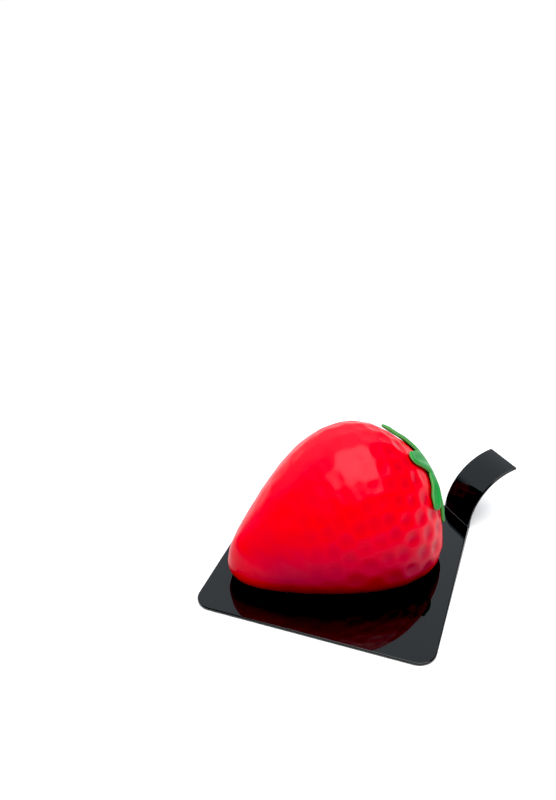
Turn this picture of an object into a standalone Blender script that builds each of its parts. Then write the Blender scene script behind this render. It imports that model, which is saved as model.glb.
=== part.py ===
"""Single-portion mousse cake, shaped as a strawberry lying on its side, on a black board with a pull tab.

The cake is a mousse with a jelly insert, a crumb layer and a sponge, dipped in a red coating.
Units are metres. The origin is the middle of the board's underside, +Z is up, and +X runs along the
board's diagonal to the corner with the tab. The cake's blunt end points to +X and its tip to -X.
"""
import functools
import math

import bmesh
import bpy
from mathutils import Matrix, Vector

# Clearance between pieces that touch.
GAP = 0.0003

# Board: a square sheet with one corner cut off, where the tab is folded up and curled outwards.
BOARD_SIDE = 0.080
BOARD_THICKNESS = 0.0010
BOARD_CORNER_RADIUS = 0.0060
TAB_WIDTH = 0.0146
TAB_CURL_RADIUS = 0.0208
TAB_CURL_DEGREES = 86.0

# Cake: its overall size, and where it was set down on the board.
CAKE_LENGTH = 0.0791
CAKE_WIDTH = 0.0652
CAKE_HEIGHT = 0.0470
CAKE_SHIFT_X = -0.0020
CAKE_SHIFT_Y = 0.0050
CAKE_TURN_DEGREES = 1.8

# Swell of the cake from its tip to its blunt end, seen from above and from the side: a half circle,
# which the shares of its second and third harmonic turn into the outline of a berry. The ridge starts
# at a height of its own, and is rounded off to the base over the last few millimetres of each end.
PLAN_HARMONICS = (1.0, -0.20)
RIDGE_HARMONICS = (1.0, -0.245, -0.151)
END_HEIGHT = 0.0150
END_ROUNDING = 0.0060
END_SQUARENESS = 4
FOOT_RADIUS = 0.0063

# Coating: its thickness on the sides and underneath, and the hole that the dipping skewer leaves.
COATING_SIDE = 0.0020
COATING_BASE = 0.0010
SKEWER_HOLE_RADIUS = 0.0040

# Sponge and crumb: two layers of one outline, and the mousse left between them and the coating.
SPONGE_THICKNESS = 0.0036
CRUMB_THICKNESS = 0.0045
SKIRT_OF_MOUSSE = 0.0006
LAYER_EDGE_RADIUS = 0.0008

# Jelly insert: a round block with sloping sides, tilted a little. The mousse around it sets its size.
MOUSSE_BESIDE_INSERT = 0.0085
MOUSSE_AT_BLUNT_END = 0.0080
MOUSSE_AT_TIP = 0.0251
MOUSSE_OVER_INSERT = 0.0082
MOUSSE_UNDER_INSERT = 0.0060
INSERT_SIDE_SLOPE = 0.0072
INSERT_EDGE_RADIUS = 0.0040
INSERT_TILT_DEGREES = 6.0

# Fruit: one upright lump, flush with the top of the jelly on the side of the cake's tip.
BERRY_WIDTH = 0.0045
BERRY_HEIGHT = 0.0070
BERRY_EDGE_RADIUS = 0.0014
BERRY_FROM_RIM = 0.0080

# Calyx: a star of rolled green paste on the blunt end, with the reach of each lobe, which are cut by
# hand. The first lobe points across the cake, and the star's middle is given from the cake's middle.
CALYX_THICKNESS = 0.0015
CALYX_REACHES = (0.0190, 0.0212, 0.0178, 0.0192, 0.0194, 0.0185)
CALYX_NOTCH_REACH = 0.0085
CALYX_TIP_RADIUS = 0.0026
CALYX_TURN_DEGREES = 2.0
CALYX_MIDDLE_HEIGHT = 0.0265
CALYX_MIDDLE_SIDE = -0.0060
CALYX_TIP_LIFT = 0.0003
CALYX_HUB_DEPTH = 0.0240

# How the surfaces are worked out: where the form's rays start along the cake, the samples that find
# its fullest place, and how far in and how widely its slope is measured.
RAY_START_SHARE = 0.12
FULLEST_STEPS = 180
INNER_SHARE = 0.99
SLOPE_STEP = 0.0001

# How finely the curved surfaces are divided.
AROUND = 56
CROWN_RINGS = 15
FOOT_RINGS = 4
BASE_RINGS = 3
INSERT_SIDES = 36
SHOULDER_STEPS = 4
CALYX_STEPS_PER_LOBE = 10
CALYX_RINGS = 7
TAB_STEPS = 16
CORNER_STEPS = 8


# ---------------------------------------------------------------- objects and materials

def clear_scene():
    for obj in list(bpy.data.objects):
        bpy.data.objects.remove(obj, do_unlink=True)


def make_material(name, colour, roughness, metallic=0.0):
    material = bpy.data.materials.new(name)
    material.use_nodes = True
    shader = material.node_tree.nodes["Principled BSDF"]
    shader.inputs["Base Color"].default_value = (*colour, 1.0)
    shader.inputs["Roughness"].default_value = roughness
    shader.inputs["Metallic"].default_value = metallic
    return material


def add_object(name, bm, material=None, parent=None, sharp_degrees=35.0):
    """Turn a finished bmesh into a named object, smooth but for edges sharper than the given angle."""
    bmesh.ops.recalc_face_normals(bm, faces=bm.faces)
    mesh = bpy.data.meshes.new(name)
    bm.to_mesh(mesh)
    bm.free()
    mesh.shade_smooth()
    mesh.set_sharp_from_angle(angle=math.radians(sharp_degrees))
    obj = bpy.data.objects.new(name, mesh)
    bpy.context.scene.collection.objects.link(obj)
    if material:
        mesh.materials.append(material)
    obj.parent = parent
    return obj


def cut_away(target, cutter):
    """Take the cutter's shape out of the target, and keep the cutter only as a hidden guide."""
    cutter.hide_render = True
    cutter.display_type = "WIRE"
    boolean = target.modifiers.new("cut_" + cutter.name, "BOOLEAN")
    boolean.operation = "DIFFERENCE"
    boolean.solver = "EXACT"
    boolean.object = cutter


def join_rings(bm, rings):
    """Bridge each closed ring of vertices to the next.

    The diagonals all run one way, so that forms which nest keep their clearance on every facet.
    """
    for upper, lower in zip(rings, rings[1:]):
        count = len(upper)
        for i in range(count):
            j = (i + 1) % count
            bm.faces.new((upper[i], upper[j], lower[j]))
            bm.faces.new((upper[i], lower[j], lower[i]))


def fan_to(bm, ring, point):
    """Close a ring with triangles that meet at one point."""
    tip = bm.verts.new(point)
    for i in range(len(ring)):
        bm.faces.new((ring[i], ring[(i + 1) % len(ring)], tip))


# ---------------------------------------------------------------- the cake's outer surface

def harmonic_sum(harmonics, turn):
    return sum(share * math.sin((i + 1) * turn) for i, share in enumerate(harmonics))


@functools.cache
def fullest_sum(harmonics):
    return max(harmonic_sum(harmonics, math.pi * i / FULLEST_STEPS) for i in range(FULLEST_STEPS))


def swell(x, harmonics):
    """Share of the full size at a place along the cake, 0 at both ends and 1 at the fullest place."""
    turn = math.acos(min(max(-2 * x / CAKE_LENGTH, -1.0), 1.0))
    return max(0.0, harmonic_sum(harmonics, turn)) / fullest_sum(harmonics)


def half_width_at(x):
    return CAKE_WIDTH / 2 * swell(x, PLAN_HARMONICS)


def ridge_height_at(x):
    into_end = max(0.0, 1.0 - (CAKE_LENGTH / 2 - abs(x)) / END_ROUNDING)
    rounding = math.sqrt(1.0 - into_end ** END_SQUARENESS)
    return rounding * (END_HEIGHT + (CAKE_HEIGHT - END_HEIGHT) * swell(x, RIDGE_HARMONICS))


def fullness(point):
    """Below 1 inside the cake's form and 1 on its surface: each cross-section is half an ellipse."""
    if abs(point.x) >= CAKE_LENGTH / 2:
        return math.inf
    half_width = half_width_at(point.x)
    return (point.y / half_width) ** 2 + (point.z / ridge_height_at(point.x)) ** 2


def reach_surface(start, direction):
    """Where a ray from a point inside the form leaves it."""
    near, far = 0.0, CAKE_LENGTH
    for _ in range(40):
        middle = (near + far) / 2
        if fullness(start + direction * middle) < 1.0:
            near = middle
        else:
            far = middle
    return start + direction * near


def round_foot(point, middle):
    """Draw the lowest part of the wall in, so that it meets the base in a quarter round."""
    below = 1.0 - point.z / FOOT_RADIUS
    if below <= 0.0:
        return point
    inset = FOOT_RADIUS * (1.0 - math.sqrt(max(0.0, 1.0 - below * below)))
    outward = Vector((point.x - middle.x, point.y - middle.y, 0.0))
    return point - outward.normalized() * inset


def form_middle():
    """The point on the base that every ray of the form starts from, under the fullest part."""
    return Vector((RAY_START_SHARE * CAKE_LENGTH, 0.0, 0.0))


def wall_point(turn, climb):
    """Point of the outer surface at a heading around the cake and a climb angle above the base."""
    middle = form_middle()
    level = Vector((math.cos(turn), math.sin(turn), 0.0))
    direction = level * math.cos(climb) + Vector((0.0, 0.0, math.sin(climb)))
    return round_foot(reach_surface(middle, direction), middle)


def climb_angles():
    """Climb of each ring: close together on the rounded foot, then even steps up to the crown."""
    reach = CAKE_WIDTH / 2
    foot_top = math.atan2(FOOT_RADIUS, reach)
    foot = [foot_top * (1.0 - math.cos(math.pi / 2 * i / FOOT_RINGS)) for i in range(FOOT_RINGS)]
    step = (math.pi / 2 - foot_top) / (CROWN_RINGS + 1)
    crown = [foot_top + step * i for i in range(CROWN_RINGS + 1)]
    return foot + crown


def moved_in(point, side, base):
    """A point of the outer surface on a smaller form inside it, closer by side and higher by base."""
    return Vector((point.x * (1.0 - 2 * side / CAKE_LENGTH),
                   point.y * (1.0 - 2 * side / CAKE_WIDTH),
                   base + point.z * (1.0 - (side + base) / CAKE_HEIGHT)))


def form_rings(bm, side, base, hole_radius=0.0):
    """Rings of the form from the crown down and in under the base, with the crown's and the base's middle.

    The form lies side and base in from the outer surface. With a hole radius the base ends in a ring.
    """
    turns = [2 * math.pi * i / AROUND for i in range(AROUND)]
    rings = []
    for climb in reversed(climb_angles()):
        points = [moved_in(wall_point(turn, climb), side, base) for turn in turns]
        rings.append([bm.verts.new(point) for point in points])
    foot = rings[-1]
    base_middle = moved_in(form_middle(), side, base)
    for i in range(1, BASE_RINGS + 1):
        share = i / BASE_RINGS if hole_radius else i / (BASE_RINGS + 1)
        ring = []
        for vert, turn in zip(foot, turns):
            rim = base_middle + Vector((math.cos(turn), math.sin(turn), 0.0)) * hole_radius
            ring.append(bm.verts.new(vert.co.lerp(rim, share)))
        rings.append(ring)
    crown = moved_in(wall_point(0.0, math.pi / 2), side, base)
    return rings, crown, base_middle


def filling_form():
    """A closed solid that fills the coating, but for the clearance."""
    bm = bmesh.new()
    rings, crown, base_middle = form_rings(bm, COATING_SIDE + GAP, COATING_BASE + GAP)
    join_rings(bm, rings)
    fan_to(bm, rings[0], crown)
    fan_to(bm, rings[-1], base_middle)
    return bm


def keep_above(bm, place, normal):
    """Cut a closed solid along a plane, keep the side that the normal points to, and cap it."""
    geometry = bm.verts[:] + bm.edges[:] + bm.faces[:]
    cut = bmesh.ops.bisect_plane(bm, geom=geometry, plane_co=place, plane_no=normal, clear_inner=True)
    edges = [item for item in cut["geom_cut"] if isinstance(item, bmesh.types.BMEdge)]
    bmesh.ops.edgeloop_fill(bm, edges=edges)


# ---------------------------------------------------------------- board

def board_outline():
    """Corner points of the sheet seen from above, from the fold's far end round to its near end."""
    half_diagonal = BOARD_SIDE / math.sqrt(2)
    corner_middle = half_diagonal - BOARD_CORNER_RADIUS * math.sqrt(2)
    outline = []
    for quarter in (1, 2, 3):
        heading = math.pi / 2 * quarter
        for i in range(CORNER_STEPS + 1):
            angle = heading - math.pi / 4 + math.pi / 2 * i / CORNER_STEPS
            outline.append((corner_middle * math.cos(heading) + BOARD_CORNER_RADIUS * math.cos(angle),
                            corner_middle * math.sin(heading) + BOARD_CORNER_RADIUS * math.sin(angle)))
    return outline


def fold_x():
    """The corner is cut off where the sheet is as wide as the tab."""
    return BOARD_SIDE / math.sqrt(2) - TAB_WIDTH / 2


def tab_profile():
    """Pairs of points (x, z) on the tab's two faces, from the fold to its end."""
    middle_x = fold_x() + TAB_CURL_RADIUS
    inner_radius = TAB_CURL_RADIUS - BOARD_THICKNESS
    pairs = [((fold_x(), BOARD_THICKNESS), (fold_x() + BOARD_THICKNESS, 0.0))]
    for i in range(1, TAB_STEPS + 1):
        angle = math.radians(TAB_CURL_DEGREES) * i / TAB_STEPS
        pairs.append(tuple((middle_x - radius * math.cos(angle), BOARD_THICKNESS + radius * math.sin(angle))
                           for radius in (TAB_CURL_RADIUS, inner_radius)))
    return pairs


def make_board():
    """The square sheet, with the tab folded up from the cut corner and curled outwards."""
    bm = bmesh.new()
    stations = []
    for upper, lower in tab_profile():
        corners = [(side * TAB_WIDTH / 2, face) for face in (upper, lower) for side in (1, -1)]
        stations.append([bm.verts.new((face[0], y, face[1])) for y, face in corners])
    for near, far in zip(stations, stations[1:]):
        for a, b in ((0, 1), (1, 3), (3, 2), (2, 0)):
            bm.faces.new((near[a], near[b], far[b], far[a]))
    end = stations[-1]
    bm.faces.new((end[0], end[1], end[3], end[2]))

    fold = stations[0]
    top = [fold[0]] + [bm.verts.new((x, y, BOARD_THICKNESS)) for x, y in board_outline()] + [fold[1]]
    bottom = [fold[2]] + [bm.verts.new((x, y, 0.0)) for x, y in board_outline()] + [fold[3]]
    bm.faces.new(top)
    bm.faces.new(bottom)
    for i in range(len(top) - 1):
        bm.faces.new((top[i], top[i + 1], bottom[i + 1], bottom[i]))
    add_object("board", bm, make_material("gloss black plastic", (0.012, 0.013, 0.014), 0.12))


# ---------------------------------------------------------------- cake

def make_coating(cake):
    """The dipped red shell, closed but for the hole that the skewer left underneath."""
    bm = bmesh.new()
    outer, outer_crown, _ = form_rings(bm, 0.0, 0.0, SKEWER_HOLE_RADIUS)
    inner, inner_crown, _ = form_rings(bm, COATING_SIDE, COATING_BASE, SKEWER_HOLE_RADIUS)
    join_rings(bm, outer)
    join_rings(bm, inner)
    join_rings(bm, [outer[-1], inner[-1]])
    fan_to(bm, outer[0], outer_crown)
    fan_to(bm, inner[0], inner_crown)
    add_object("coating", bm, make_material("red coating", (0.75, 0.0, 0.006), 0.3), cake)


def layer_outline(growth):
    """Outline of the sponge and crumb: the filling's flat underside, less the skirt of mousse."""
    middle = form_middle()
    margin = FOOT_RADIUS + COATING_SIDE + SKIRT_OF_MOUSSE - growth
    points = []
    for i in range(AROUND):
        turn = 2 * math.pi * i / AROUND
        edge = reach_surface(middle, Vector((math.cos(turn), math.sin(turn), 0.0)))
        points.append(moved_in(edge, margin, 0.0))
    return points


def layer_solid(bottom, top, growth=0.0):
    """A flat layer with that outline between two heights."""
    bm = bmesh.new()
    outline = layer_outline(growth)
    rings = [[bm.verts.new((point.x, point.y, z)) for point in outline] for z in (top, bottom)]
    join_rings(bm, rings)
    bm.faces.new(rings[0])
    bm.faces.new(rings[1])
    return bm


def round_layer_edges(layer):
    bevel = layer.modifiers.new("soft edges", "BEVEL")
    bevel.width = LAYER_EDGE_RADIUS
    bevel.segments = 2
    bevel.limit_method = "ANGLE"


def sponge_bottom():
    return COATING_BASE + GAP


def crumb_bottom():
    return sponge_bottom() + SPONGE_THICKNESS + GAP


def crumb_top():
    return crumb_bottom() + CRUMB_THICKNESS


def make_layers(cake):
    """The sponge at the bottom and the coarse crumb on it, cut to one outline."""
    sponge = add_object("sponge_base", layer_solid(sponge_bottom(), sponge_bottom() + SPONGE_THICKNESS),
                        make_material("pistachio sponge", (0.40, 0.30, 0.07), 0.9), cake)
    crumb = add_object("crumb_layer", layer_solid(crumb_bottom(), crumb_top()),
                       make_material("pink crumb", (0.55, 0.28, 0.18), 0.9), cake)
    round_layer_edges(sponge)
    round_layer_edges(crumb)


def insert_base_radius():
    """The round insert is as large as the mousse beside it or at the ends of the cake leaves room for."""
    across = CAKE_WIDTH / 2 - COATING_SIDE - MOUSSE_BESIDE_INSERT
    along = CAKE_LENGTH / 2 - COATING_SIDE - (MOUSSE_AT_BLUNT_END + MOUSSE_AT_TIP) / 2
    return min(across, along)


def insert_top_radius():
    return insert_base_radius() - INSERT_SIDE_SLOPE


def insert_lift():
    return crumb_top() + MOUSSE_UNDER_INSERT


def insert_thickness():
    return CAKE_HEIGHT - COATING_SIDE - MOUSSE_OVER_INSERT - insert_lift()


def insert_matrix():
    """Place of the middle of the insert's underside, tilted with its side at the blunt end higher."""
    x = CAKE_LENGTH / 2 - COATING_SIDE - MOUSSE_AT_BLUNT_END - insert_base_radius()
    tilt = Matrix.Rotation(-math.radians(INSERT_TILT_DEGREES), 4, "Y")
    return Matrix.Translation((x, 0.0, insert_lift())) @ tilt


def insert_solid(clearance=0.0, below=0.0):
    """The turned block in its own place: sloping side, rounded shoulder and flat top.

    clearance makes it larger all over, and below carries its side down under its base.
    """
    thickness = insert_thickness()
    lean = math.atan2(INSERT_SIDE_SLOPE, thickness)
    shoulder = INSERT_EDGE_RADIUS + clearance
    shoulder_x = insert_top_radius() - INSERT_EDGE_RADIUS * math.tan(math.pi / 4 - lean / 2)
    shoulder_z = thickness - INSERT_EDGE_RADIUS
    profile = [(insert_base_radius() + clearance / math.cos(lean), -below)]
    for i in range(SHOULDER_STEPS + 1):
        angle = lean + (math.pi / 2 - lean) * i / SHOULDER_STEPS
        profile.append((shoulder_x + shoulder * math.cos(angle), shoulder_z + shoulder * math.sin(angle)))
    bm = bmesh.new()
    rings = []
    for radius, z in profile:
        turns = [2 * math.pi * i / INSERT_SIDES for i in range(INSERT_SIDES)]
        rings.append([bm.verts.new((radius * math.cos(a), radius * math.sin(a), z)) for a in turns])
    join_rings(bm, rings)
    bm.faces.new(rings[0])
    fan_to(bm, rings[-1], (0.0, 0.0, thickness + clearance))
    return bm


def block_solid(width, height, rise=0.0):
    """A square block about the origin, with its top carried up by rise."""
    bm = bmesh.new()
    bmesh.ops.create_cube(bm, size=1.0)
    for vert in bm.verts:
        vert.co.x *= width
        vert.co.y *= width
        vert.co.z *= height
        if vert.co.z > 0.0:
            vert.co.z += rise
    return bm


def make_insert(cake):
    """The fruit jelly, and the lump of fruit in a pocket that is open at the jelly's top."""
    jelly = add_object("jelly_insert", insert_solid(),
                       make_material("red jelly", (0.10, 0.003, 0.006), 0.25), cake)
    jelly.matrix_local = insert_matrix()

    towards_tip = BERRY_FROM_RIM - insert_top_radius()
    place = insert_matrix() @ Matrix.Translation((towards_tip, 0.0, insert_thickness() - BERRY_HEIGHT / 2))
    berry = add_object("berry_piece", block_solid(BERRY_WIDTH, BERRY_HEIGHT),
                       make_material("berry flesh", (0.55, 0.02, 0.02), 0.4), cake)
    berry.matrix_local = place
    bevel = berry.modifiers.new("soft edges", "BEVEL")
    bevel.width = BERRY_EDGE_RADIUS
    bevel.segments = 3

    pocket = add_object("berry_pocket",
                        block_solid(BERRY_WIDTH + 2 * GAP, BERRY_HEIGHT + 2 * GAP, BERRY_HEIGHT), parent=cake)
    pocket.matrix_local = place
    cut_away(jelly, pocket)


def make_mousse(cake):
    """Two pours of mousse, parted by the tilted plane that the insert stands on."""
    colour = make_material("strawberry mousse", (0.68, 0.34, 0.22), 0.6)
    up = insert_matrix().to_3x3() @ Vector((0.0, 0.0, 1.0))
    place = insert_matrix().translation - up * GAP

    main = filling_form()
    keep_above(main, place, up)
    mousse = add_object("mousse", main, colour, cake)
    cavity = add_object("insert_cavity", insert_solid(GAP, 2 * GAP), parent=cake)
    cavity.matrix_local = insert_matrix()
    cut_away(mousse, cavity)

    floor = filling_form()
    keep_above(floor, place - up * GAP, -up)
    mousse_floor = add_object("mousse_floor", floor, colour, cake)
    recess = add_object("layer_recess", layer_solid(-GAP, crumb_top() + GAP, GAP), parent=cake)
    cut_away(mousse_floor, recess)


# ---------------------------------------------------------------- calyx

def edge_reach(angle, lobe_reach):
    """Reach of the star's edge at an angle from the middle line of a lobe.

    A lobe is a straight-sided wedge from the notches to a round tip.
    """
    half_step = math.pi / len(CALYX_REACHES)
    notch = Vector((CALYX_NOTCH_REACH * math.cos(half_step), CALYX_NOTCH_REACH * math.sin(half_step)))
    tip_middle = Vector((lobe_reach - CALYX_TIP_RADIUS, 0.0))
    away = tip_middle - notch
    lean = math.asin(CALYX_TIP_RADIUS / away.length)
    heading = math.atan2(away.y, away.x) + lean
    touch = notch + Vector((math.cos(heading), math.sin(heading))) * away.length * math.cos(lean)

    angle = abs(angle)
    if angle < math.atan2(touch.y, touch.x):
        across = tip_middle.x * math.sin(angle)
        return tip_middle.x * math.cos(angle) + math.sqrt(CALYX_TIP_RADIUS ** 2 - across ** 2)
    side = touch - notch
    return (notch.x * side.y - notch.y * side.x) / (math.cos(angle) * side.y - math.sin(angle) * side.x)


def star_edge():
    """The star's outline, as pairs of an angle around its middle and a reach."""
    step = 2 * math.pi / len(CALYX_REACHES)
    edge = []
    for lobe, reach in enumerate(CALYX_REACHES):
        for i in range(CALYX_STEPS_PER_LOBE):
            from_lobe = step * (i / CALYX_STEPS_PER_LOBE - 0.5)
            angle = math.radians(CALYX_TURN_DEGREES) + step * lobe + from_lobe
            edge.append((angle, edge_reach(from_lobe, reach)))
    return edge


def calyx_frame():
    """The star's middle on the blunt end, its outward direction and its two directions in the surface."""
    seat = Vector((form_middle().x, CALYX_MIDDLE_SIDE, CALYX_MIDDLE_HEIGHT))
    middle = reach_surface(seat, Vector((1.0, 0.0, 0.0)))
    normal = surface_normal(middle)
    sideways = Vector((0.0, 0.0, 1.0)).cross(normal).normalized()
    return middle, normal, sideways, normal.cross(sideways)


def surface_normal(point):
    """Outward normal of the form at a point of its surface, from how fast the form fills up there."""
    inner = point * INNER_SHARE
    slopes = []
    for axis in range(3):
        shift = Vector((0.0, 0.0, 0.0))
        shift[axis] = SLOPE_STEP
        slopes.append(fullness(inner + shift) - fullness(inner - shift))
    return Vector(slopes).normalized()


def make_calyx(cake):
    """The star of rolled paste, laid on the blunt end, with its tips standing off a little."""
    middle, normal, sideways, upward = calyx_frame()
    hub = middle - normal * CALYX_HUB_DEPTH

    def sheet_points(angle, reach):
        """The two faces of the paste at an angle and a reach along the surface."""
        spread = reach / CALYX_HUB_DEPTH
        direction = normal * math.cos(spread)
        direction += (sideways * math.cos(angle) + upward * math.sin(angle)) * math.sin(spread)
        seat = reach_surface(hub, direction)
        out = surface_normal(seat)
        lift = GAP + CALYX_TIP_LIFT * (reach / max(CALYX_REACHES)) ** 2
        return seat + out * lift, seat + out * (lift + CALYX_THICKNESS)

    bm = bmesh.new()
    inner_rings = []
    outer_rings = []
    for ring in range(CALYX_RINGS, 0, -1):
        pairs = [sheet_points(angle, reach * ring / CALYX_RINGS) for angle, reach in star_edge()]
        inner_rings.append([bm.verts.new(pair[0]) for pair in pairs])
        outer_rings.append([bm.verts.new(pair[1]) for pair in pairs])
    join_rings(bm, inner_rings)
    join_rings(bm, outer_rings)
    join_rings(bm, [inner_rings[0], outer_rings[0]])
    inner_middle, outer_middle = sheet_points(0.0, 0.0)
    fan_to(bm, inner_rings[-1], inner_middle)
    fan_to(bm, outer_rings[-1], outer_middle)
    add_object("calyx", bm, make_material("green paste", (0.05, 0.38, 0.08), 0.5), cake)


# ---------------------------------------------------------------- assembly

clear_scene()
make_board()
cake_place = bpy.data.objects.new("cake", None)
bpy.context.scene.collection.objects.link(cake_place)
cake_place.location = (CAKE_SHIFT_X, CAKE_SHIFT_Y, BOARD_THICKNESS + GAP)
cake_place.rotation_euler.z = math.radians(CAKE_TURN_DEGREES)
make_coating(cake_place)
make_mousse(cake_place)
make_layers(cake_place)
make_insert(cake_place)
make_calyx(cake_place)
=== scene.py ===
import math

import bmesh
import bpy
import numpy as np
from mathutils import Matrix, Vector, noise


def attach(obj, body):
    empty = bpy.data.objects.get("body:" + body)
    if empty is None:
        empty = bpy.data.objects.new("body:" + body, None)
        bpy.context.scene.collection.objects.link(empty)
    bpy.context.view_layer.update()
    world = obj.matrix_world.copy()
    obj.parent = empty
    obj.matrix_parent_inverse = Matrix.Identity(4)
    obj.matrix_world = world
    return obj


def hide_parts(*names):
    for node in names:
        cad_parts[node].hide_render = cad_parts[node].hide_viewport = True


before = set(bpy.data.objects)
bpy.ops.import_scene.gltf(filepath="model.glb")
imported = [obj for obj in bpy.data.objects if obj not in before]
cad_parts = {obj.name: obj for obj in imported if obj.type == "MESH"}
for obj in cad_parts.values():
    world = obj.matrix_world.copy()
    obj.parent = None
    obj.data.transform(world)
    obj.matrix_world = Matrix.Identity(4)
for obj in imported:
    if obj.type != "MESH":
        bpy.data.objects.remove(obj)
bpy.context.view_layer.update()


# ================================================================ camera, floor and light
# The cake stands on a pale table, in front of a bright backdrop. One large softbox hangs almost
# straight above it, and the room behind the camera is dim, which keeps the reds deep.

def linear(code):
    """An sRGB hex colour as linear red, green, blue and an alpha of 1."""
    shares = [int(code[i:i + 2], 16) / 255 for i in (1, 3, 5)]
    return (*(s / 12.92 if s <= 0.04045 else ((s + 0.055) / 1.055) ** 2.4 for s in shares), 1.0)


def add_node(tree, kind, sockets=None, **settings):
    """Add a node, make its settings, and give its sockets a value or another node's output."""
    node = tree.nodes.new("ShaderNode" + kind)
    for name, value in settings.items():
        setattr(node, name, value)
    for name, value in (sockets or {}).items():
        if isinstance(value, bpy.types.NodeSocket):
            tree.links.new(value, node.inputs[name])
        else:
            node.inputs[name].default_value = value
    return node


def new_finish(name):
    """A material with an empty node tree."""
    material = bpy.data.materials.new(name)
    material.use_nodes = True
    material.node_tree.nodes.clear()
    return material, material.node_tree


def add_piece(name, points, faces, material):
    """A smooth mesh object from its points and faces."""
    mesh = bpy.data.meshes.new(name)
    mesh.from_pydata([tuple(point) for point in points], [], faces)
    mesh.shade_smooth()
    mesh.materials.append(material)
    piece = bpy.data.objects.new(name, mesh)
    bpy.context.scene.collection.objects.link(piece)
    return piece


# The camera looks down on the cake from its front left. Its darkest tones are set to black.
CAMERA_PLACE = Vector((-0.10395, -0.18181, 0.18251))
CAMERA_FORWARD = Vector((0.3522, 0.7959, -0.4924))
CAMERA_UP = Vector((0.2212, 0.4404, 0.8701))
CAMERA_LENS_MM = 34.13
FILM_WIDTH_MM = 36.0
NEAREST_SEEN = 0.01
BLACK_LEVEL = 0.02

camera_data = bpy.data.cameras.new("camera")
camera_data.lens = CAMERA_LENS_MM
camera_data.sensor_width = FILM_WIDTH_MM
camera_data.clip_start = NEAREST_SEEN
camera = bpy.data.objects.new("camera", camera_data)
bpy.context.scene.collection.objects.link(camera)
forward = CAMERA_FORWARD.normalized()
right = forward.cross(CAMERA_UP).normalized()
turned = Matrix((right, right.cross(forward), -forward)).transposed()
camera.matrix_world = Matrix.Translation(CAMERA_PLACE) @ turned.to_4x4()
bpy.context.scene.camera = camera
view = bpy.context.scene.view_settings
view.view_transform = "Standard"
view.use_curve_mapping = True
view.curve_mapping.black_level = (BLACK_LEVEL,) * 3

# The table top reaches far past the view, and lies a hair below the board so that the two stay apart.
FLOOR_RADIUS = 8.0
FLOOR_SIDES = 96
FLOOR_DROP = 0.0001
LACQUER_GRAIN = 0.0015

# Matt white table top: even and bright, with a grain too fine to catch the eye.
floor_paint, tree = new_finish("matt white lacquered table top")
place = add_node(tree, "TexCoord")
grain = add_node(tree, "TexNoise", {"Vector": place.outputs["Object"], "Scale": 1 / LACQUER_GRAIN})
tone = add_node(tree, "Mix", {0: grain.outputs["Fac"], 6: linear("#F4F4F4"), 7: linear("#F8F8F8")},
                data_type="RGBA")
shader = add_node(tree, "BsdfPrincipled", {"Base Color": tone.outputs[2], "Roughness": 0.9,
                                           "Specular IOR Level": 0.1})
add_node(tree, "OutputMaterial", {"Surface": shader.outputs["BSDF"]})
rim = [(FLOOR_RADIUS * math.cos(math.tau * i / FLOOR_SIDES),
        FLOOR_RADIUS * math.sin(math.tau * i / FLOOR_SIDES), -FLOOR_DROP) for i in range(FLOOR_SIDES)]
floor = add_piece("floor", rim, [tuple(range(FLOOR_SIDES))], floor_paint)

# The backdrop's light, how high and how far to the left of the camera's aim its middle lies, and how
# far from its middle it is full and ends. Its foot is dimmer, and turns bright between two heights.
BACKDROP_TOP = (1.15, 1.22, 1.30, 1.0)
BACKDROP_FOOT = (0.34, 0.36, 0.38, 1.0)
BACKDROP_CLIMB_DEGREES = 28.0
BACKDROP_SWING_DEGREES = 20.0
BACKDROP_FULL_DEGREES = 44.0
BACKDROP_END_DEGREES = 62.0
BACKDROP_FOOT_RISE = 0.18
BACKDROP_TOP_RISE = 0.50

# The light of the rest of the room, and of the softbox, with how wide it looks from the cake.
ROOM = (0.06, 0.06, 0.06, 1.0)
SOFTBOX_LIGHT = 3.9
SOFTBOX_SPREAD_DEGREES = 58.0
SOFTBOX_FROM = Vector((0.01, -0.27, 0.95))

world = bpy.data.worlds.new("studio")
bpy.context.scene.world = world
world.use_nodes = True
tree = world.node_tree
tree.nodes.clear()
climb = math.radians(BACKDROP_CLIMB_DEGREES)
swing = math.atan2(forward.y, forward.x) + math.radians(BACKDROP_SWING_DEGREES)
away = Vector((math.cos(swing) * math.cos(climb), math.sin(swing) * math.cos(climb), math.sin(climb)))
direction = add_node(tree, "TexCoord")
behind = add_node(tree, "VectorMath", {0: direction.outputs["Generated"], 1: away},
                  operation="DOT_PRODUCT")
share = add_node(tree, "MapRange", {"Value": behind.outputs["Value"],
                                    "From Min": math.cos(math.radians(BACKDROP_END_DEGREES)),
                                    "From Max": math.cos(math.radians(BACKDROP_FULL_DEGREES))},
                 interpolation_type="SMOOTHSTEP")
aloft = add_node(tree, "SeparateXYZ", {0: direction.outputs["Generated"]})
rise = add_node(tree, "MapRange", {"Value": aloft.outputs["Z"], "From Min": BACKDROP_FOOT_RISE,
                                   "From Max": BACKDROP_TOP_RISE}, interpolation_type="SMOOTHSTEP")
backdrop = add_node(tree, "Mix", {0: rise.outputs["Result"], 6: BACKDROP_FOOT, 7: BACKDROP_TOP},
                    data_type="RGBA")
sky = add_node(tree, "Mix", {0: share.outputs["Result"], 6: ROOM, 7: backdrop.outputs[2]},
               data_type="RGBA")
background = add_node(tree, "Background", {"Color": sky.outputs[2]})
add_node(tree, "OutputWorld", {"Surface": background.outputs["Background"]})

softbox_data = bpy.data.lights.new("softbox", "SUN")
softbox_data.energy = SOFTBOX_LIGHT
softbox_data.angle = math.radians(SOFTBOX_SPREAD_DEGREES)
softbox = bpy.data.objects.new("softbox", softbox_data)
bpy.context.scene.collection.objects.link(softbox)
softbox.rotation_euler = SOFTBOX_FROM.to_track_quat("Z", "Y").to_euler()


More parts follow.
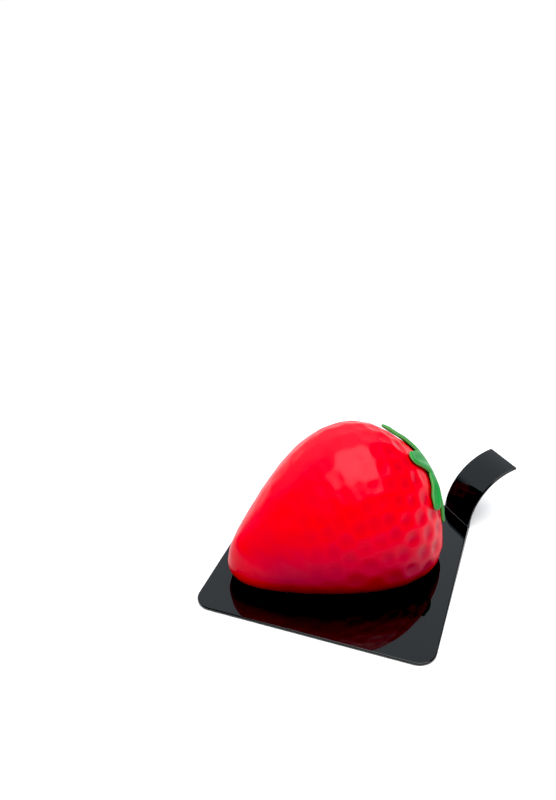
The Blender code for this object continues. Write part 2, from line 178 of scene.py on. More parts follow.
# ================================================================ sponge and crumb
# The cake is built on a thin pistachio sponge, with a layer of coarse pink crumb pressed on it.
# Both are baked, cut to one outline, and hidden inside the mousse.

SPONGE_PORE = 0.0012
CRUMB_GRAIN = 0.0016

# Pistachio sponge: open-pored and dry, olive where it has browned and yellow inside.
sponge_bake, tree = new_finish("baked pistachio sponge")
place = add_node(tree, "TexCoord")
pores = add_node(tree, "TexVoronoi", {"Vector": place.outputs["Object"], "Scale": 1 / SPONGE_PORE})
patches = add_node(tree, "TexNoise", {"Vector": place.outputs["Object"], "Scale": 1 / (5 * SPONGE_PORE),
                                      "Detail": 4.0})
browned = add_node(tree, "MapRange", {"Value": patches.outputs["Fac"], "From Min": 0.35, "From Max": 0.65})
tone = add_node(tree, "Mix", {0: browned.outputs["Result"], 6: linear("#B8A050"), 7: linear("#8A7A34")},
                data_type="RGBA")
dents = add_node(tree, "Bump", {"Height": pores.outputs["Distance"], "Strength": 0.8, "Distance": 0.0004})
shader = add_node(tree, "BsdfPrincipled", {"Base Color": tone.outputs[2], "Roughness": 0.92,
                                           "Normal": dents.outputs["Normal"], "IOR": 1.4,
                                           "Subsurface Weight": 0.1, "Subsurface Scale": 0.002})
add_node(tree, "OutputMaterial", {"Surface": shader.outputs["BSDF"]})

# Strawberry crumb: coarse dry grains, from cream to pink.
crumb_bake, tree = new_finish("pressed biscuit crumb with berry powder")
place = add_node(tree, "TexCoord")
grains = add_node(tree, "TexVoronoi", {"Vector": place.outputs["Object"], "Scale": 1 / CRUMB_GRAIN})
grain_tone = add_node(tree, "SeparateColor", {0: grains.outputs["Color"]})
tone = add_node(tree, "Mix", {0: grain_tone.outputs[0], 6: linear("#D9A887"), 7: linear("#B8705A")},
                data_type="RGBA")
lumps = add_node(tree, "Bump", {"Height": grains.outputs["Distance"], "Strength": 0.9,
                                "Distance": 0.0005}, invert=True)
shader = add_node(tree, "BsdfPrincipled", {"Base Color": tone.outputs[2], "Roughness": 0.95,
                                           "Normal": lumps.outputs["Normal"], "IOR": 1.4})
add_node(tree, "OutputMaterial", {"Surface": shader.outputs["BSDF"]})


def dress(node, material):
    """Give a carried-over CAD node its finish."""
    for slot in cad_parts[node].material_slots:
        slot.material = material


dress("sponge_base", sponge_bake)
dress("crumb_layer", crumb_bake)


# ================================================================ jelly and fruit
# The heart of the cake is a frozen disc of strawberry jelly with sloping sides, with a lump of
# fruit set into it. Both are clear and wet, and dark red right through.

JELLY_CLOUD = 0.006
FRUIT_SEED = 0.0016

# Set strawberry jelly: a wet, glassy dark red, a little cloudy.
jelly_set, tree = new_finish("set strawberry jelly")
place = add_node(tree, "TexCoord")
clouds = add_node(tree, "TexNoise", {"Vector": place.outputs["Object"], "Scale": 1 / JELLY_CLOUD,
                                     "Detail": 3.0})
tone = add_node(tree, "Mix", {0: clouds.outputs["Fac"], 6: linear("#4A060E"), 7: linear("#8A0A14")},
                data_type="RGBA")
ripples = add_node(tree, "Bump", {"Height": clouds.outputs["Fac"], "Strength": 0.3, "Distance": 0.0003})
shader = add_node(tree, "BsdfPrincipled", {"Base Color": tone.outputs[2], "Roughness": 0.12, "IOR": 1.36,
                                           "Normal": ripples.outputs["Normal"],
                                           "Subsurface Weight": 0.4, "Subsurface Scale": 0.004})
add_node(tree, "OutputMaterial", {"Surface": shader.outputs["BSDF"]})

# Strawberry flesh: brighter than the jelly, streaked, with pale seeds.
fruit_flesh, tree = new_finish("cut strawberry flesh")
place = add_node(tree, "TexCoord")
seeds = add_node(tree, "TexVoronoi", {"Vector": place.outputs["Object"], "Scale": 1 / FRUIT_SEED})
seed_share = add_node(tree, "MapRange", {"Value": seeds.outputs["Distance"], "From Min": 0.12,
                                         "From Max": 0.2, "To Min": 1.0, "To Max": 0.0})
streaks = add_node(tree, "TexNoise", {"Vector": place.outputs["Object"], "Scale": 1 / (2 * FRUIT_SEED)})
tone = add_node(tree, "Mix", {0: streaks.outputs["Fac"], 6: linear("#A5101C"), 7: linear("#D8323A")},
                data_type="RGBA")
speckled = add_node(tree, "Mix", {0: seed_share.outputs["Result"], 6: tone.outputs[2],
                                  7: linear("#E8C27A")}, data_type="RGBA")
shader = add_node(tree, "BsdfPrincipled", {"Base Color": speckled.outputs[2], "Roughness": 0.2,
                                           "IOR": 1.36, "Subsurface Weight": 0.3,
                                           "Subsurface Scale": 0.003})
add_node(tree, "OutputMaterial", {"Surface": shader.outputs["BSDF"]})

dress("jelly_insert", jelly_set)
dress("berry_piece", fruit_flesh)


# ================================================================ mousse
# The body is a strawberry mousse, poured into the mould round the jelly and closed with a floor
# of the same mousse. It is matt and finely aerated, and fills the coating.

AIR_BUBBLE = 0.0009

# Strawberry mousse: pale salmon, matt, with fine open bubbles.
mousse_set, tree = new_finish("aerated strawberry mousse")
place = add_node(tree, "TexCoord")
bubbles = add_node(tree, "TexVoronoi", {"Vector": place.outputs["Object"], "Scale": 1 / AIR_BUBBLE})
bubble_pit = add_node(tree, "MapRange", {"Value": bubbles.outputs["Distance"], "From Min": 0.1,
                                         "From Max": 0.35})
blush = add_node(tree, "TexNoise", {"Vector": place.outputs["Object"], "Scale": 1 / (9 * AIR_BUBBLE),
                                    "Detail": 3.0})
tone = add_node(tree, "Mix", {0: blush.outputs["Fac"], 6: linear("#D8977A"), 7: linear("#E4B097")},
                data_type="RGBA")
pits = add_node(tree, "Bump", {"Height": bubble_pit.outputs["Result"], "Strength": 0.5,
                               "Distance": 0.0002})
shader = add_node(tree, "BsdfPrincipled", {"Base Color": tone.outputs[2], "Roughness": 0.85, "IOR": 1.4,
                                           "Normal": pits.outputs["Normal"],
                                           "Subsurface Weight": 0.2, "Subsurface Scale": 0.003})
add_node(tree, "OutputMaterial", {"Surface": shader.outputs["BSDF"]})

dress("mousse", mousse_set)
dress("mousse_floor", mousse_set)


# ================================================================ coating
# The frozen cake is dipped, on a skewer, into a red glaze, which sets to a thin shell. The mould's
# seed dimples show through it, deep on the blunt end and fading out towards the tip.

# The berry form: half of an ellipse across, swelling along X as the harmonics say, blunt at its ends,
# and drawn in to a rounded foot. Its surface is found by halving, along rays from a point inside it.
CAKE_LENGTH = 0.0791
CAKE_WIDTH = 0.0652
CAKE_HEIGHT = 0.0470
CAKE_PLACE = Vector((-0.0020, 0.0050, 0.0013))
CAKE_TURN_DEGREES = 1.8
PLAN_HARMONICS = (1.0, -0.20)
RIDGE_HARMONICS = (1.0, -0.245, -0.151)
END_HEIGHT = 0.0150
END_ROUNDING = 0.0060
END_SQUARENESS = 4
FOOT_RADIUS = 0.0063
RAY_START = np.array((0.12 * CAKE_LENGTH, 0.0, 0.0))
FULLEST_STEPS = 180
HALVINGS = 36
NEXT_TO_NOTHING = 1e-9
WELL_OUTSIDE = 9.0

# The shell on that form, and the round hole that the skewer leaves under it.
COATING_SIDE = 0.0020
COATING_BASE = 0.0010
SKEWER_HOLE_RADIUS = 0.0040

# How finely the shell is divided. Its inside has fewer rings.
AROUND = 320
CROWN_RINGS = 90
FOOT_RINGS = 12
INNER_EVERY = 4
BASE_RING_SHARES = (0.2, 0.6, 1.0)

# Seed dimples: the distance between them and between their rows, their size, how far each strays from
# its place, the line from the tip to the calyx that the rows run round, and the rows' first and last
# lean from that line.
DIMPLE_PITCH = 0.0076
DIMPLE_RADIUS = 0.0038
DIMPLE_DEPTH = 0.00078
DIMPLE_WANDER = 0.0004
DIMPLE_ROW_PITCH = DIMPLE_PITCH * math.sqrt(0.75)
FAINTEST_DIMPLE = 0.7
DIMPLE_AXIS_FROM = np.array((-0.0395, 0.0, 0.010))
DIMPLE_AXIS_TO = np.array((0.0395, -0.004, 0.025))
FIRST_LEAN = 0.14
LAST_LEAN = 0.10

# How deep the dimples are along the cake: their share at the tip, what the middle and the blunt end
# add and between which places along X, what the crown takes away and between which heights, and how
# far from the star's middle and from the base the surface stays as it is.
TIP_SHARE = 0.10
MIDDLE_SHARE = 0.28
MIDDLE_RISE = (-0.030, -0.005)
BLUNT_SHARE = 0.62
BLUNT_RISE = (-0.004, 0.024)
CROWN_LOSS = 0.40
CROWN_RISE = (0.018, 0.034)
STAR_CLEAR = (0.010, 0.019)
FOOT_CLEAR = (0.0008, 0.004)

# The glaze set in broad waves, with smaller lumps on them.
GLAZE_WAVE = 0.009
GLAZE_WAVE_DEPTH = 0.00034
GLAZE_LUMP = 0.0040
GLAZE_LUMP_DEPTH = 0.00024

# The point inside the form that the middle of the star lies straight in front of.
CALYX_SEAT = np.array((RAY_START[0], -0.0060, 0.0265))

cake_matrix = Matrix.Translation(CAKE_PLACE) @ Matrix.Rotation(math.radians(CAKE_TURN_DEGREES), 4, "Z")


def swell(x, harmonics):
    """Share of the full size along the cake: 0 at both ends, 1 at the fullest place."""
    def harmonic_sum(turn):
        return sum(share * np.sin((i + 1) * turn) for i, share in enumerate(harmonics))
    fullest = harmonic_sum(np.linspace(0.0, math.pi, FULLEST_STEPS + 1)).max()
    return np.maximum(harmonic_sum(np.arccos(np.clip(-2 * x / CAKE_LENGTH, -1, 1))), 0.0) / fullest


def fullness(points):
    """Below 1 inside the berry form and 1 on its surface."""
    x, y, z = points.T
    width = np.maximum(CAKE_WIDTH / 2 * swell(x, PLAN_HARMONICS), NEXT_TO_NOTHING)
    into_end = np.clip(1.0 - (CAKE_LENGTH / 2 - np.abs(x)) / END_ROUNDING, 0.0, 0.9999)
    ridge = END_HEIGHT + (CAKE_HEIGHT - END_HEIGHT) * swell(x, RIDGE_HARMONICS)
    ridge *= np.sqrt(1.0 - into_end ** END_SQUARENESS)
    return np.where(np.abs(x) >= CAKE_LENGTH / 2, WELL_OUTSIDE, (y / width) ** 2 + (z / ridge) ** 2)


def reach_surface(start, directions):
    """Where rays from a point inside the form leave it."""
    near = np.zeros(len(directions))
    far = np.full(len(directions), CAKE_LENGTH)
    for _ in range(HALVINGS):
        middle = (near + far) / 2
        inside = fullness(start + directions * middle[:, None]) < 1.0
        near = np.where(inside, middle, near)
        far = np.where(inside, far, middle)
    return start + directions * near[:, None]


def form_ring(climb):
    """One ring of the outer surface, with its lowest part drawn in to a rounded foot."""
    turns = np.linspace(0.0, math.tau, AROUND, endpoint=False)
    level = np.stack((np.cos(turns), np.sin(turns), np.zeros(AROUND)), axis=1)
    ring = reach_surface(RAY_START, level * math.cos(climb) + np.array((0.0, 0.0, math.sin(climb))))
    below = np.clip(1.0 - ring[:, 2] / FOOT_RADIUS, 0.0, 1.0)
    outward = (ring - RAY_START) * (1.0, 1.0, 0.0)
    outward /= np.maximum(np.linalg.norm(outward, axis=1), NEXT_TO_NOTHING)[:, None]
    return ring - outward * (FOOT_RADIUS * (1.0 - np.sqrt(1.0 - below ** 2)))[:, None]


def moved_in(points, side, base):
    """Points of the outer surface on the smaller form inside it."""
    scale = (1.0 - 2 * side / CAKE_LENGTH, 1.0 - 2 * side / CAKE_WIDTH, 1.0 - (side + base) / CAKE_HEIGHT)
    return points * scale + (0.0, 0.0, base)


def smooth_share(value, low, high):
    """0 below low, 1 above high, and an even S between them."""
    share = np.clip((value - low) / (high - low), 0.0, 1.0)
    return share * share * (3.0 - 2.0 * share)


def dimple_middles():
    """Middles of the seed dimples, in staggered rows round the line from the tip to the calyx."""
    middle = (DIMPLE_AXIS_FROM + DIMPLE_AXIS_TO) / 2
    along = DIMPLE_AXIS_TO - DIMPLE_AXIS_FROM
    along /= np.linalg.norm(along)
    across = np.cross((0.0, 0.0, 1.0), along)
    across /= np.linalg.norm(across)
    up = np.cross(along, across)
    rows = []
    lean = FIRST_LEAN
    while lean < math.pi - LAST_LEAN:
        side = along * math.cos(lean) + across * math.sin(lean)
        radius = np.linalg.norm(reach_surface(middle, side[None, :])[0] - middle)
        count = max(1, round(math.tau * radius * math.sin(lean) / DIMPLE_PITCH))
        turns = (np.arange(count) + 0.5 * (len(rows) % 2)) * math.tau / count
        spokes = across * np.cos(turns)[:, None] + up * np.sin(turns)[:, None]
        rows.append(reach_surface(middle, along * math.cos(lean) + spokes * math.sin(lean)))
        lean += DIMPLE_ROW_PITCH / radius
    return np.concatenate(rows)


star_middle = reach_surface(CALYX_SEAT, np.array(((1.0, 0.0, 0.0),)))
chance = np.random.default_rng(7)
seed_dimples = dimple_middles()
seed_dimples += chance.normal(0.0, DIMPLE_WANDER, seed_dimples.shape)
dimple_strengths = chance.uniform(FAINTEST_DIMPLE, 1.0, len(seed_dimples))


def glaze_relief(points):
    """How deep in a seed dimple each point of the surface lies, as a share, and how far in it is drawn."""
    share = np.zeros(len(points))
    for middle, strength in zip(seed_dimples, dimple_strengths):
        apart = np.linalg.norm(points - middle, axis=1) / DIMPLE_RADIUS
        share = np.maximum(share, strength * np.maximum(0.0, 1.0 - apart ** 2) ** 2)
    x, _, z = points.T
    share *= (TIP_SHARE + MIDDLE_SHARE * smooth_share(x, *MIDDLE_RISE)
              + BLUNT_SHARE * smooth_share(x, *BLUNT_RISE))
    share *= 1.0 - CROWN_LOSS * smooth_share(z, *CROWN_RISE)
    share *= smooth_share(np.linalg.norm(points - star_middle, axis=1), *STAR_CLEAR)
    off_foot = smooth_share(z, *FOOT_CLEAR)
    waves = np.array([(noise.noise(Vector(point) / GLAZE_WAVE), noise.noise(Vector(point) / GLAZE_LUMP))
                      for point in points])
    waves = (0.5 + 0.5 * waves) @ (GLAZE_WAVE_DEPTH, GLAZE_LUMP_DEPTH)
    return share * off_foot, (share * DIMPLE_DEPTH + waves) * off_foot


foot_top = math.atan2(FOOT_RADIUS, CAKE_WIDTH / 2)
climbs = [foot_top * (1.0 - math.cos(math.pi / 2 * i / FOOT_RINGS)) for i in range(FOOT_RINGS)]
climbs += list(np.linspace(foot_top, math.pi / 2, CROWN_RINGS + 1)[:-1])
outer_rings = [form_ring(climb) for climb in reversed(climbs)]
crown = reach_surface(RAY_START, np.array(((0.0, 0.0, 1.0),)))
turns = np.linspace(0.0, math.tau, AROUND, endpoint=False)
hole = np.stack((np.cos(turns), np.sin(turns), np.zeros(AROUND)), axis=1) * SKEWER_HOLE_RADIUS + RAY_START
base_rings = [outer_rings[-1] * (1 - share) + hole * share for share in BASE_RING_SHARES]
inner_base = moved_in(outer_rings[-1], COATING_SIDE, COATING_BASE)
inner_hole = moved_in(hole, COATING_SIDE, COATING_BASE)
inner_rings = [inner_hole, (inner_hole + inner_base) / 2]
inner_rings += [moved_in(ring, COATING_SIDE, COATING_BASE) for ring in outer_rings[::-1][::INNER_EVERY]]
inner_crown = moved_in(crown, COATING_SIDE, COATING_BASE)


def ring_faces(rings, around):
    """Faces between closed rings of points that follow one another, and fans to the two end points."""
    faces = []
    for ring in range(rings - 1):
        for i in range(around):
            j = (i + 1) % around
            faces.append((ring * around + i, ring * around + j, (ring + 1) * around + j,
                          (ring + 1) * around + i))
    first, last = rings * around, rings * around + 1
    faces += [(first, (i + 1) % around, i) for i in range(around)]
    low = (rings - 1) * around
    faces += [(last, low + i, low + (i + 1) % around) for i in range(around)]
    return faces


def face_outwards(mesh):
    """Turn the faces of a closed mesh outwards."""
    solid = bmesh.new()
    solid.from_mesh(mesh)
    bmesh.ops.recalc_face_normals(solid, faces=solid.faces)
    solid.to_mesh(mesh)
    solid.free()


shell_rings = outer_rings + base_rings + inner_rings
shell_points = np.concatenate(shell_rings + [crown, inner_crown])
outer_count = AROUND * len(outer_rings)

# Dipped red glaze: a deep even red with a satin gloss, faintly uneven where it ran and set. It is painted
# darker in the dimples, as shade and as thicker glaze, and each of a few pinholes left by burst bubbles
# has a painted pale highlight on it.
GLAZE_PEEL = 0.0024
PINHOLE_SPACING = 0.0130
PINHOLE_SIZE = 0.00030
PINHOLE_TO_PEEL = 2.0

# Painted shade: the glaze is painted darkest towards the foot, most of all midway between the cake's two
# ends.
SHADE_BOTTOM = 0.001
SHADE_TOP = 0.029
SHADE_SHARE = 0.95
SHADE_MIDDLE_X = -0.006
SHADE_FULL_REACH = 0.020
SHADE_END_REACH = 0.034
SHADE_END_SHARE = 0.25

glaze, tree = new_finish("dipped red glaze, set to a satin gloss")
place = add_node(tree, "TexCoord")
ran = add_node(tree, "TexNoise", {"Vector": place.outputs["Object"], "Scale": 1 / GLAZE_WAVE,
                                  "Detail": 3.0, "Roughness": 0.55})
tone = add_node(tree, "Mix", {0: ran.outputs["Fac"], 6: linear("#F0001C"), 7: linear("#DC0028")},
                data_type="RGBA")
depth = add_node(tree, "Attribute", attribute_name="dimple")
deep = add_node(tree, "MapRange", {"Value": depth.outputs["Fac"], "From Min": 0.05, "From Max": 0.90})
# Painted shade: the dimples are painted a darker crimson, by their depth, where the glaze also lies
# thicker.
pooled_glaze_painted_shade = add_node(tree, "Mix", {0: deep.outputs["Result"], 6: tone.outputs[2], 7: linear("#B40028")},
                  data_type="RGBA")
spot = add_node(tree, "SeparateXYZ", {0: place.outputs["Object"]})
# Painted shade: the glaze is painted dark crimson towards the foot, less so towards the cake's two ends.
low = add_node(tree, "MapRange", {"Value": spot.outputs["Z"], "From Min": SHADE_BOTTOM,
                                  "From Max": SHADE_TOP, "To Min": SHADE_SHARE, "To Max": 0.0},
               interpolation_type="SMOOTHSTEP")
off_middle = add_node(tree, "Math", {0: spot.outputs["X"], 1: SHADE_MIDDLE_X}, operation="SUBTRACT")
to_end = add_node(tree, "Math", {0: off_middle.outputs["Value"]}, operation="ABSOLUTE")
off_end = add_node(tree, "MapRange", {"Value": to_end.outputs["Value"], "From Min": SHADE_FULL_REACH,
                                      "From Max": SHADE_END_REACH, "To Min": 1.0,
                                      "To Max": SHADE_END_SHARE}, interpolation_type="SMOOTHSTEP")
painted_foot_shade = add_node(tree, "Math", {0: low.outputs["Result"], 1: off_end.outputs["Result"]},
                    operation="MULTIPLY")
shaded = add_node(tree, "Mix", {0: painted_foot_shade.outputs["Value"], 6: pooled_glaze_painted_shade.outputs[2], 7: linear("#800230")},
                  data_type="RGBA")
sheen = add_node(tree, "MapRange", {"Value": ran.outputs["Fac"], "From Min": 0.3, "From Max": 0.7,
                                    "To Min": 0.34, "To Max": 0.44})
peel = add_node(tree, "TexNoise", {"Vector": place.outputs["Object"], "Scale": 1 / GLAZE_PEEL,
                                   "Detail": 2.0})
holes = add_node(tree, "TexVoronoi", {"Vector": place.outputs["Object"], "Scale": 1 / PINHOLE_SPACING})
near_hole = add_node(tree, "MapRange", {"Value": holes.outputs["Distance"],
                                        "From Min": 0.5 * PINHOLE_SIZE / PINHOLE_SPACING,
                                        "From Max": 1.5 * PINHOLE_SIZE / PINHOLE_SPACING})
skin = add_node(tree, "Math", {0: near_hole.outputs["Result"], 1: PINHOLE_TO_PEEL}, operation="MULTIPLY")
relief = add_node(tree, "Math", {0: skin.outputs["Value"], 1: peel.outputs["Fac"]}, operation="ADD")
skin_bump = add_node(tree, "Bump", {"Height": relief.outputs["Value"], "Strength": 0.35,
                                    "Distance": 0.00015})
# Painted highlight: a pale pink dot is painted on each pinhole, standing in for its glint.
pinhole_painted_highlight = add_node(tree, "MapRange", {"Value": near_hole.outputs["Result"], "To Min": 0.55,
                                        "To Max": 0.0})
with_pinhole_highlights = add_node(tree, "Mix", {0: pinhole_painted_highlight.outputs["Result"], 6: shaded.outputs[2],
                                 7: linear("#FF7080")}, data_type="RGBA")
shader = add_node(tree, "BsdfPrincipled", {"Base Color": with_pinhole_highlights.outputs[2], "IOR": 1.45,
                                           "Roughness": sheen.outputs["Result"],
                                           "Specular IOR Level": 0.13, "Coat Weight": 0.20,
                                           "Coat Roughness": 0.26, "Normal": skin_bump.outputs["Normal"],
                                           "Coat Normal": skin_bump.outputs["Normal"]})
add_node(tree, "OutputMaterial", {"Surface": shader.outputs["BSDF"]})

coating = add_piece("coating_shell", shell_points, ring_faces(len(shell_rings), AROUND), glaze)
mesh = coating.data
face_outwards(mesh)
normals = np.zeros(len(mesh.vertices) * 3, np.float32)
mesh.vertex_normals.foreach_get("vector", normals)
normals = normals.reshape(-1, 3).astype(float)
points = shell_points.copy()
seen = np.zeros(len(points), bool)
seen[:outer_count] = True
seen[AROUND * len(shell_rings)] = True
skin_points = points[seen]
share, inset = glaze_relief(skin_points)
points[seen] = skin_points - normals[seen] * inset[:, None]
mesh.vertices.foreach_set("co", points.astype(np.float32).ravel())
depths = np.zeros(len(points), np.float32)
depths[seen] = share
mesh.attributes.new("dimple", "FLOAT", "POINT").data.foreach_set("value", depths)
mesh.update()
mesh.transform(cake_matrix)
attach(coating, "root")
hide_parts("coating")


# ================================================================ board
# The cake stands on a square of glossy black plastic sheet with rounded corners. One corner is
# folded up and heat-curled outwards into a tab, so that a finger can lift the cake by it.

BOARD_SIDE = 0.080
BOARD_THICKNESS = 0.0010
BOARD_CORNER_RADIUS = 0.0060
TAB_WIDTH = 0.0146
TAB_CURL_RADIUS = 0.0208
TAB_CURL_DEGREES = 86.0
TAB_STEPS = 48
CORNER_STEPS = 16
EDGE_ROUNDING = 0.00032
EDGE_SEGMENTS = 4
SHARP_FROM_DEGREES = 30.0
FOLD_X = BOARD_SIDE / math.sqrt(2) - TAB_WIDTH / 2

# Polished polystyrene sheet: black with a mirror gloss, a few faint smears and hairline scratches, and a
# painted highlight: a grey line painted along the fold.
SMEAR_SIZE = 0.018
SCRATCH_SPACING = 0.004
FOLD_HIGHLIGHT_WIDTH = 0.00045

sheet_plastic, tree = new_finish("polished black polystyrene sheet")
place = add_node(tree, "TexCoord")
smears = add_node(tree, "TexNoise", {"Vector": place.outputs["Object"], "Scale": 1 / SMEAR_SIZE,
                                     "Detail": 5.0, "Roughness": 0.6})
gloss = add_node(tree, "MapRange", {"Value": smears.outputs["Fac"], "From Min": 0.45, "From Max": 0.75,
                                    "To Min": 0.035, "To Max": 0.11})
stretched = add_node(tree, "Mapping", {"Vector": place.outputs["Object"], "Rotation": (0.0, 0.0, 0.6),
                                       "Scale": (1.0, 0.04, 1.0)})
hairs = add_node(tree, "TexVoronoi", {"Vector": stretched.outputs["Vector"],
                                      "Scale": 1 / SCRATCH_SPACING}, feature="DISTANCE_TO_EDGE")
hair_line = add_node(tree, "MapRange", {"Value": hairs.outputs["Distance"], "From Min": 0.0,
                                        "From Max": 0.006})
scratches = add_node(tree, "Bump", {"Height": hair_line.outputs["Result"], "Strength": 0.05,
                                    "Distance": 0.00002})
spot = add_node(tree, "SeparateXYZ", {0: place.outputs["Object"]})
# Painted highlight: a thin grey line is painted along the fold.
fold_painted_highlight = add_node(tree, "Math", {0: spot.outputs["X"], 1: FOLD_X, 2: FOLD_HIGHLIGHT_WIDTH / 2}, operation="COMPARE")
body = add_node(tree, "Mix", {0: fold_painted_highlight.outputs["Value"], 6: linear("#08090A"), 7: linear("#3C4042")},
                data_type="RGBA")
shader = add_node(tree, "BsdfPrincipled", {"Base Color": body.outputs[2], "IOR": 1.52,
                                           "Specular IOR Level": 0.42,
                                           "Roughness": gloss.outputs["Result"],
                                           "Normal": scratches.outputs["Normal"]})
add_node(tree, "OutputMaterial", {"Surface": shader.outputs["BSDF"]})

bm = bmesh.new()
stations = []
for step in range(TAB_STEPS + 1):
    angle = math.radians(TAB_CURL_DEGREES) * step / TAB_STEPS
    faces_x_z = []
    for radius in (TAB_CURL_RADIUS, TAB_CURL_RADIUS - BOARD_THICKNESS):
        faces_x_z.append((FOLD_X + TAB_CURL_RADIUS - radius * math.cos(angle),
                          BOARD_THICKNESS + radius * math.sin(angle)))
    # At the fold, the tab's underside meets the underside of the board.
    if step == 0:
        faces_x_z[1] = (FOLD_X + BOARD_THICKNESS, 0.0)
    stations.append([bm.verts.new((x, side * TAB_WIDTH / 2, z)) for x, z in faces_x_z for side in (1, -1)])
for near, far in zip(stations, stations[1:]):
    for a, b in ((0, 1), (1, 3), (3, 2), (2, 0)):
        bm.faces.new((near[a], near[b], far[b], far[a]))
end = stations[-1]
bm.faces.new((end[0], end[1], end[3], end[2]))
corner_middle = BOARD_SIDE / math.sqrt(2) - BOARD_CORNER_RADIUS * math.sqrt(2)
outline = []
for heading in (math.pi / 2, math.pi, 3 * math.pi / 2):
    for step in range(CORNER_STEPS + 1):
        angle = heading - math.pi / 4 + math.pi / 2 * step / CORNER_STEPS
        outline.append((corner_middle * math.cos(heading) + BOARD_CORNER_RADIUS * math.cos(angle),
                        corner_middle * math.sin(heading) + BOARD_CORNER_RADIUS * math.sin(angle)))
fold = stations[0]
top = [fold[0]] + [bm.verts.new((x, y, BOARD_THICKNESS)) for x, y in outline] + [fold[1]]
bottom = [fold[2]] + [bm.verts.new((x, y, 0.0)) for x, y in outline] + [fold[3]]
bm.faces.new(top)
bm.faces.new(bottom)
for i in range(len(top) - 1):
    bm.faces.new((top[i], top[i + 1], bottom[i + 1], bottom[i]))
bmesh.ops.recalc_face_normals(bm, faces=bm.faces)
sharp_edges = [edge for edge in bm.edges if edge.calc_face_angle(0.0) > math.radians(SHARP_FROM_DEGREES)]
bmesh.ops.bevel(bm, geom=sharp_edges, offset=EDGE_ROUNDING, offset_type="OFFSET", segments=EDGE_SEGMENTS,
                profile=0.5, affect="EDGES", clamp_overlap=True)
board_mesh = bpy.data.meshes.new("board_sheet")
bm.to_mesh(board_mesh)
bm.free()
board_mesh.shade_smooth()
board_mesh.materials.append(sheet_plastic)
board = bpy.data.objects.new("board_sheet", board_mesh)
bpy.context.scene.collection.objects.link(board)
flat_faces = board.modifiers.new("flat faces stay flat", "WEIGHTED_NORMAL")
flat_faces.mode = "FACE_AREA"
flat_faces.weight = 100
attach(board, "root")
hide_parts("board")


# ================================================================ calyx
# A star of green sugar paste, rolled out a millimetre and a half thick, cut by hand and pressed on the
# blunt end once the coating has set. Its edges are soft and each lobe is creased along its middle.

CALYX_THICKNESS = 0.0015
CALYX_REACHES = (0.0190, 0.0212, 0.0178, 0.0192, 0.0194, 0.0185)
CALYX_NOTCH_REACH = 0.0085
CALYX_TIP_RADIUS = 0.0026
CALYX_TURN_DEGREES = 2.0
CALYX_TIP_LIFT = 0.00015
CALYX_HUB_DEPTH = 0.0240
CLEARANCE = 0.00028
CALYX_PILLOW = 0.0018
CUT_EDGE_WIDTH = 0.0007

# The crease along each lobe: where it begins, from the hub, and how it ends before the cut edge.
CREASE_WIDTH = 0.0013
CREASE_DEPTH = 0.00080
CREASE_START = (0.004, 0.009)
CREASE_OFF_EDGE = (0.0004, 0.0022)

# The slope of the form is taken just under its surface, over a small step each way.
INNER_SHARE = 0.99
SLOPE_STEP = 0.0001

# Points round each lobe, and rings from the star's edge inwards, close together where it is rounded.
STEPS_PER_LOBE = 36
RING_SHARES = (1.0, 0.996, 0.988, 0.975, 0.955, 0.925, 0.88, 0.82, 0.75, 0.67, 0.58, 0.48, 0.37, 0.25,
               0.12)


def lobe_edge(angle, lobe_reach):
    """Reach of a lobe's outline at an angle from its middle line: straight sides and a round tip."""
    half_step = math.pi / len(CALYX_REACHES)
    notch = Vector((CALYX_NOTCH_REACH * math.cos(half_step), CALYX_NOTCH_REACH * math.sin(half_step)))
    tip_middle = lobe_reach - CALYX_TIP_RADIUS
    away = Vector((tip_middle, 0.0)) - notch
    lean = math.asin(CALYX_TIP_RADIUS / away.length)
    heading = math.atan2(away.y, away.x) + lean
    touch = notch + Vector((math.cos(heading), math.sin(heading))) * away.length * math.cos(lean)
    angle = abs(angle)
    if angle < math.atan2(touch.y, touch.x):
        return tip_middle * math.cos(angle) + math.sqrt(CALYX_TIP_RADIUS ** 2
                                                        - (tip_middle * math.sin(angle)) ** 2)
    side = touch - notch
    return (notch.x * side.y - notch.y * side.x) / (math.cos(angle) * side.y - math.sin(angle) * side.x)


def form_normals(points):
    """Outward normals of the berry form."""
    inner = points * INNER_SHARE
    slopes = [fullness(inner + SLOPE_STEP * axis) - fullness(inner - SLOPE_STEP * axis)
              for axis in np.eye(3)]
    slopes = np.stack(slopes, axis=1)
    return slopes / np.linalg.norm(slopes, axis=1)[:, None]


lobe_step = math.tau / len(CALYX_REACHES)
angles, reaches, from_middle = [], [], []
for lobe, lobe_reach in enumerate(CALYX_REACHES):
    for step in range(STEPS_PER_LOBE):
        off = lobe_step * (step / STEPS_PER_LOBE - 0.5)
        angles.append(math.radians(CALYX_TURN_DEGREES) + lobe_step * lobe + off)
        reaches.append(lobe_edge(off, lobe_reach))
        from_middle.append(off)
angles, reaches, from_middle = np.array(angles), np.array(reaches), np.array(from_middle)
edge_flat = np.stack((reaches * np.cos(angles), reaches * np.sin(angles)), axis=1)

star_normal = form_normals(star_middle)[0]
sideways = np.cross((0.0, 0.0, 1.0), star_normal)
sideways /= np.linalg.norm(sideways)
upward = np.cross(star_normal, sideways)
hub = star_middle[0] - star_normal * CALYX_HUB_DEPTH


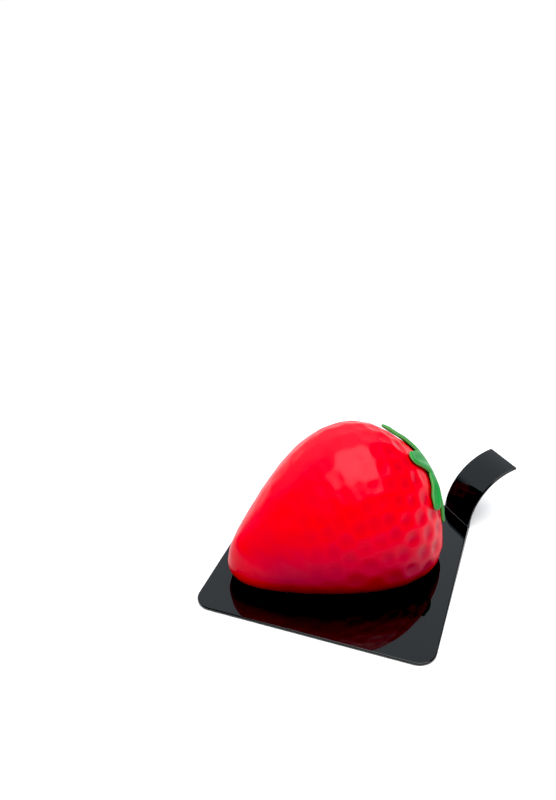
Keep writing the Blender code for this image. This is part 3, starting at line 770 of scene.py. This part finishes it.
def sheet_faces(angles, reaches, off_middle):
    """Points on the paste's under and upper side at angles and reaches, and how near the edge they lie."""
    spread = reaches / CALYX_HUB_DEPTH
    level = sideways * np.cos(angles)[:, None] + upward * np.sin(angles)[:, None]
    seat = reach_surface(hub, star_normal * np.cos(spread)[:, None] + level * np.sin(spread)[:, None])
    out = form_normals(seat)
    flat = np.stack((reaches * np.cos(angles), reaches * np.sin(angles)), axis=1)
    to_edge = np.min(np.linalg.norm(flat[:, None, :] - edge_flat[None, :, :], axis=2), axis=1)
    half = CALYX_THICKNESS / 2
    round_off = half * np.sqrt(1.0 - np.clip(1.0 - to_edge / half, 0.0, 1.0) ** 2)
    pillow = half * np.sqrt(1.0 - np.clip(1.0 - to_edge / CALYX_PILLOW, 0.0, 1.0) ** 2)
    crease = np.abs(reaches * np.sin(off_middle)) / CREASE_WIDTH
    crease = CREASE_DEPTH * np.exp(-crease ** 2) * smooth_share(reaches, *CREASE_START)
    crease *= smooth_share(to_edge, *CREASE_OFF_EDGE)
    lift = CLEARANCE + CALYX_TIP_LIFT * (reaches / max(CALYX_REACHES)) ** 2 - glaze_relief(seat)[1]
    under = seat + out * (lift + half - round_off)[:, None]
    upper = seat + out * (lift + half + pillow - crease)[:, None]
    return under, upper, to_edge


under_rings, upper_rings, edge_shares = [], [], []
for ring_share in RING_SHARES:
    under, upper, to_edge = sheet_faces(angles, reaches * ring_share, from_middle)
    under_rings.append(under)
    upper_rings.append(upper)
    edge_shares.append(np.clip(1.0 - to_edge / CUT_EDGE_WIDTH, 0.0, 1.0))
under_hub, upper_hub, _ = sheet_faces(np.array((0.0,)), np.array((0.0,)), np.array((math.pi / 2,)))
star_rings = upper_rings[::-1] + under_rings[1:]
star_points = np.concatenate(star_rings + [upper_hub, under_hub])
star_edges = np.concatenate(edge_shares[::-1] + edge_shares[1:] + [np.zeros(2)])

# Sugar paste: an even leaf green with a soft waxy sheen, paler on the cut edge, with the fine grain of
# icing sugar.
PASTE_GRAIN = 0.0007
PASTE_MOTTLE = 0.006

paste, tree = new_finish("rolled green sugar paste")
place = add_node(tree, "TexCoord")
mottle = add_node(tree, "TexNoise", {"Vector": place.outputs["Object"], "Scale": 1 / PASTE_MOTTLE,
                                     "Detail": 3.0})
tone = add_node(tree, "Mix", {0: mottle.outputs["Fac"], 6: linear("#177C2F"), 7: linear("#2B9A45")},
                data_type="RGBA")
cut = add_node(tree, "Attribute", attribute_name="cut_edge")
edged = add_node(tree, "MapRange", {"Value": cut.outputs["Fac"], "From Min": 0.55, "From Max": 1.0,
                                    "To Min": 0.0, "To Max": 0.32})
paler_edge = add_node(tree, "Mix", {0: edged.outputs["Result"], 6: tone.outputs[2], 7: linear("#9CCB86")},
                 data_type="RGBA")
sugar = add_node(tree, "TexNoise", {"Vector": place.outputs["Object"], "Scale": 1 / PASTE_GRAIN,
                                    "Detail": 3.0})
grain = add_node(tree, "Bump", {"Height": sugar.outputs["Fac"], "Strength": 0.25, "Distance": 0.0001})
shader = add_node(tree, "BsdfPrincipled", {"Base Color": paler_edge.outputs[2], "Roughness": 0.42,
                                           "IOR": 1.45, "Specular IOR Level": 0.20,
                                           "Normal": grain.outputs["Normal"],
                                           "Subsurface Weight": 0.08, "Subsurface Scale": 0.001})
add_node(tree, "OutputMaterial", {"Surface": shader.outputs["BSDF"]})

calyx = add_piece("calyx_star", star_points, ring_faces(len(star_rings), len(angles)), paste)
calyx.data.attributes.new("cut_edge", "FLOAT", "POINT").data.foreach_set("value",
                                                                         star_edges.astype(np.float32))
calyx.data.transform(cake_matrix)
face_outwards(calyx.data)
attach(calyx, "root")
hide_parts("calyx")
